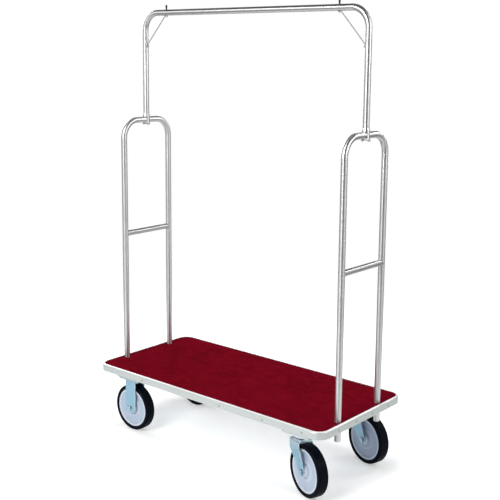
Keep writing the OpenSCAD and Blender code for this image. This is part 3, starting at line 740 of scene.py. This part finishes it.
def bar_bead(side_name, end):
    """The weld where a push bar's coped end meets its post. end is 1 at the back, -1 in front."""
    bar_low, bar_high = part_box(side_name + "_push_bar")
    hoop_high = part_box(side_name + "_end_hoop")[1]
    bar_r = half_sizes(side_name + "_push_bar")[2]
    post_r = half_sizes(side_name + "_end_hoop")[0]
    middle_x, middle_z = (bar_low.x + bar_high.x) / 2, (bar_low.z + bar_high.z) / 2
    post_y = end * (hoop_high.y - post_r)
    ring = []
    for k in range(WELD_STEPS):
        angle = 2 * math.pi * k / WELD_STEPS
        dx, dz = (bar_r + WELD_LIFT) * math.cos(angle), (bar_r + WELD_LIFT) * math.sin(angle)
        reach = math.sqrt(max((post_r + WELD_LIFT) ** 2 - dx**2, 0))
        ring.append(Vector((middle_x + dx, post_y - end * reach, middle_z + dz)))
    return bead(f"{side_name}_bar_weld_{'back' if end > 0 else 'front'}", ring)


weld_steel = fastener_look("weld_steel", (0.66, 0.66, 0.66), (0.46, 0.46, 0.47))
for side_name in ("left", "right"):
    for end in (-1, 1):
        mesh = bar_bead(side_name, end)
        add_piece(mesh.name, mesh, weld_steel, "cart")


# ---------- CAD nodes that are shown as they are ----------
for name, node in NODES.items():
    if not node.hide_render:
        paint(node, look_of(name))

# A swivel fork stands at its own heading, so the cut edges with its painted highlight face their own way
for corner in ("right_front", "right_back"):
    axle = Vector(JOINTS[corner + "_wheel_spin"]["axis"]).normalized()
    ahead = axle.cross(Vector((0, 0, 1)))
    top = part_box(corner + "_fork")[1].z
    # Each swivel fork is also painted paler towards its top, a painted highlight
    paint(NODES[corner + "_fork"], zinc_look(corner + "_zinc", ahead, highlight_top=top))


# ---------- Stage ----------
FLOOR_R = 14.0
# Distances from the origin between which the floor fades out, and between which its glow grows
FLOOR_FADE = (1.1, 2.6)
FLOOR_GLOW = (0.9, 2.4)
NEAR_GLOW, FAR_GLOW = 0.42, 0.80
# Share of the glow that the tubes mirror, so that their dark stripes reach down to the deck
MIRRORED_GLOW = 0.2


def make_floor():
    """A pale floor that fades out far from the cart, so that it has no horizon."""
    bpy.ops.mesh.primitive_circle_add(vertices=96, radius=FLOOR_R, fill_type="NGON")
    floor = bpy.context.object
    floor.name = "floor"
    look = Look("pale_floor", specular=0.2)
    look.colour(look.blend(look.noise(3.0, detail=3.0), (0.80, 0.80, 0.80), (0.83, 0.83, 0.83)))
    look.rough(0.7)
    distance = look.vector("LENGTH", look.place).outputs["Value"]
    glow = look.span(distance, *FLOOR_GLOW, NEAR_GLOW, FAR_GLOW)
    dimmed = look.span(look.ray_is("Glossy"), 0.0, 1.0, 1.0, MIRRORED_GLOW)
    look.set_input("Emission Color", (1.0, 1.0, 1.0))
    look.set_input("Emission Strength", look.math("MULTIPLY", glow, dimmed))
    mixed = look.node("ShaderNodeMixShader", {
        "Fac": look.span(distance, *FLOOR_FADE),
        1: look.shader.outputs["BSDF"],
        2: look.node("ShaderNodeBsdfTransparent").outputs["BSDF"],
    })
    look.put(look.tree.nodes["Material Output"].inputs["Surface"], mixed.outputs["Shader"])
    floor.data.materials.append(look.mat)


# Strength of the room in reflections, and as light on everything else
GLOSSY_ROOM, SOFT_ROOM = 1.15, 0.45
# Grey of the room by azimuth in degrees: dark flats stand between the bright sides
FLATS = (
    (0, 0.90), (20, 1.0), (50, 0.95), (72, 0.12), (95, 0.10), (120, 0.55), (145, 1.0), (165, 0.90),
    (182, 0.15), (198, 0.22), (218, 0.90), (240, 1.0), (282, 1.0), (303, 0.16), (318, 0.16), (340, 0.80),
)
# The room dims towards its ceiling and its floor: from and to a height, and the share of light there
ROOM_FADES = ((0.30, 0.66, 1.0, 0.14), (-0.14, 0.03, 0.40, 1.0))


def make_world():
    """White to the camera. To the cart it is a white room with grey flats between its lights."""
    world = bpy.data.worlds.new("studio")
    bpy.context.scene.world = world
    world.use_nodes = True
    world.node_tree.nodes.clear()
    nodes = Nodes(world.node_tree)

    direction = nodes.node("ShaderNodeTexCoord").outputs["Generated"]
    x, y, z = nodes.node("ShaderNodeSeparateXYZ", {0: direction}).outputs
    turn = nodes.math("DIVIDE", nodes.math("ARCTAN2", y, x), 2 * math.pi)
    ramp = nodes.node("ShaderNodeValToRGB", {0: nodes.math("FRACT", nodes.math("ADD", turn, 1.0))})
    stops = ramp.color_ramp.elements
    while len(stops) > 1:
        stops.remove(stops[-1])
    for k, (azimuth, grey) in enumerate(FLATS):
        stop = stops[0] if k == 0 else stops.new(azimuth / 360)
        stop.position = azimuth / 360
        stop.color = (grey, grey, grey, 1.0)
    shade = ramp.outputs[0]
    for fade in ROOM_FADES:
        shade = nodes.math("MULTIPLY", shade, nodes.span(z, *fade, interpolation_type="SMOOTHSTEP"))

    lift = nodes.math("MULTIPLY", nodes.ray_is("Glossy"), GLOSSY_ROOM - SOFT_ROOM)
    strength = nodes.math("ADD", lift, SOFT_ROOM)
    room = nodes.node("ShaderNodeBackground", {"Color": shade, "Strength": strength})
    plain = nodes.node("ShaderNodeBackground", {"Color": (1.0, 1.0, 1.0)})
    mixed = nodes.node("ShaderNodeMixShader", {
        0: nodes.ray_is("Camera"), 1: room.outputs[0], 2: plain.outputs[0],
    })
    nodes.node("ShaderNodeOutputWorld", {0: mixed.outputs[0]})


def make_light(name, at, size, power):
    """A round softbox aimed at the cart's middle."""
    data = bpy.data.lights.new(name, "AREA")
    data.shape, data.size, data.energy = "DISK", size, power
    light = bpy.data.objects.new(name, data)
    light.location = at
    light.rotation_euler = (CART_MIDDLE - Vector(at)).to_track_quat("-Z", "Y").to_euler()
    light.visible_camera = False
    bpy.context.scene.collection.objects.link(light)
    return light


CART_MIDDLE = Vector((0, 0, 0.7))
make_camera()
make_floor()
make_world()
make_light("key", (0.2, -3.6, 3.0), 2.0, 125)
make_light("fill", (3.6, 0.6, 2.4), 1.4, 25)
make_light("back", (1.9, 3.3, 3.2), 1.4, 40)
make_light("side", (-3.6, 0.9, 2.6), 1.6, 30)
make_light("top", (-0.6, 0.2, 4.2), 2.6, 120).visible_glossy = False
bpy.context.scene.view_settings.view_transform = "Standard"
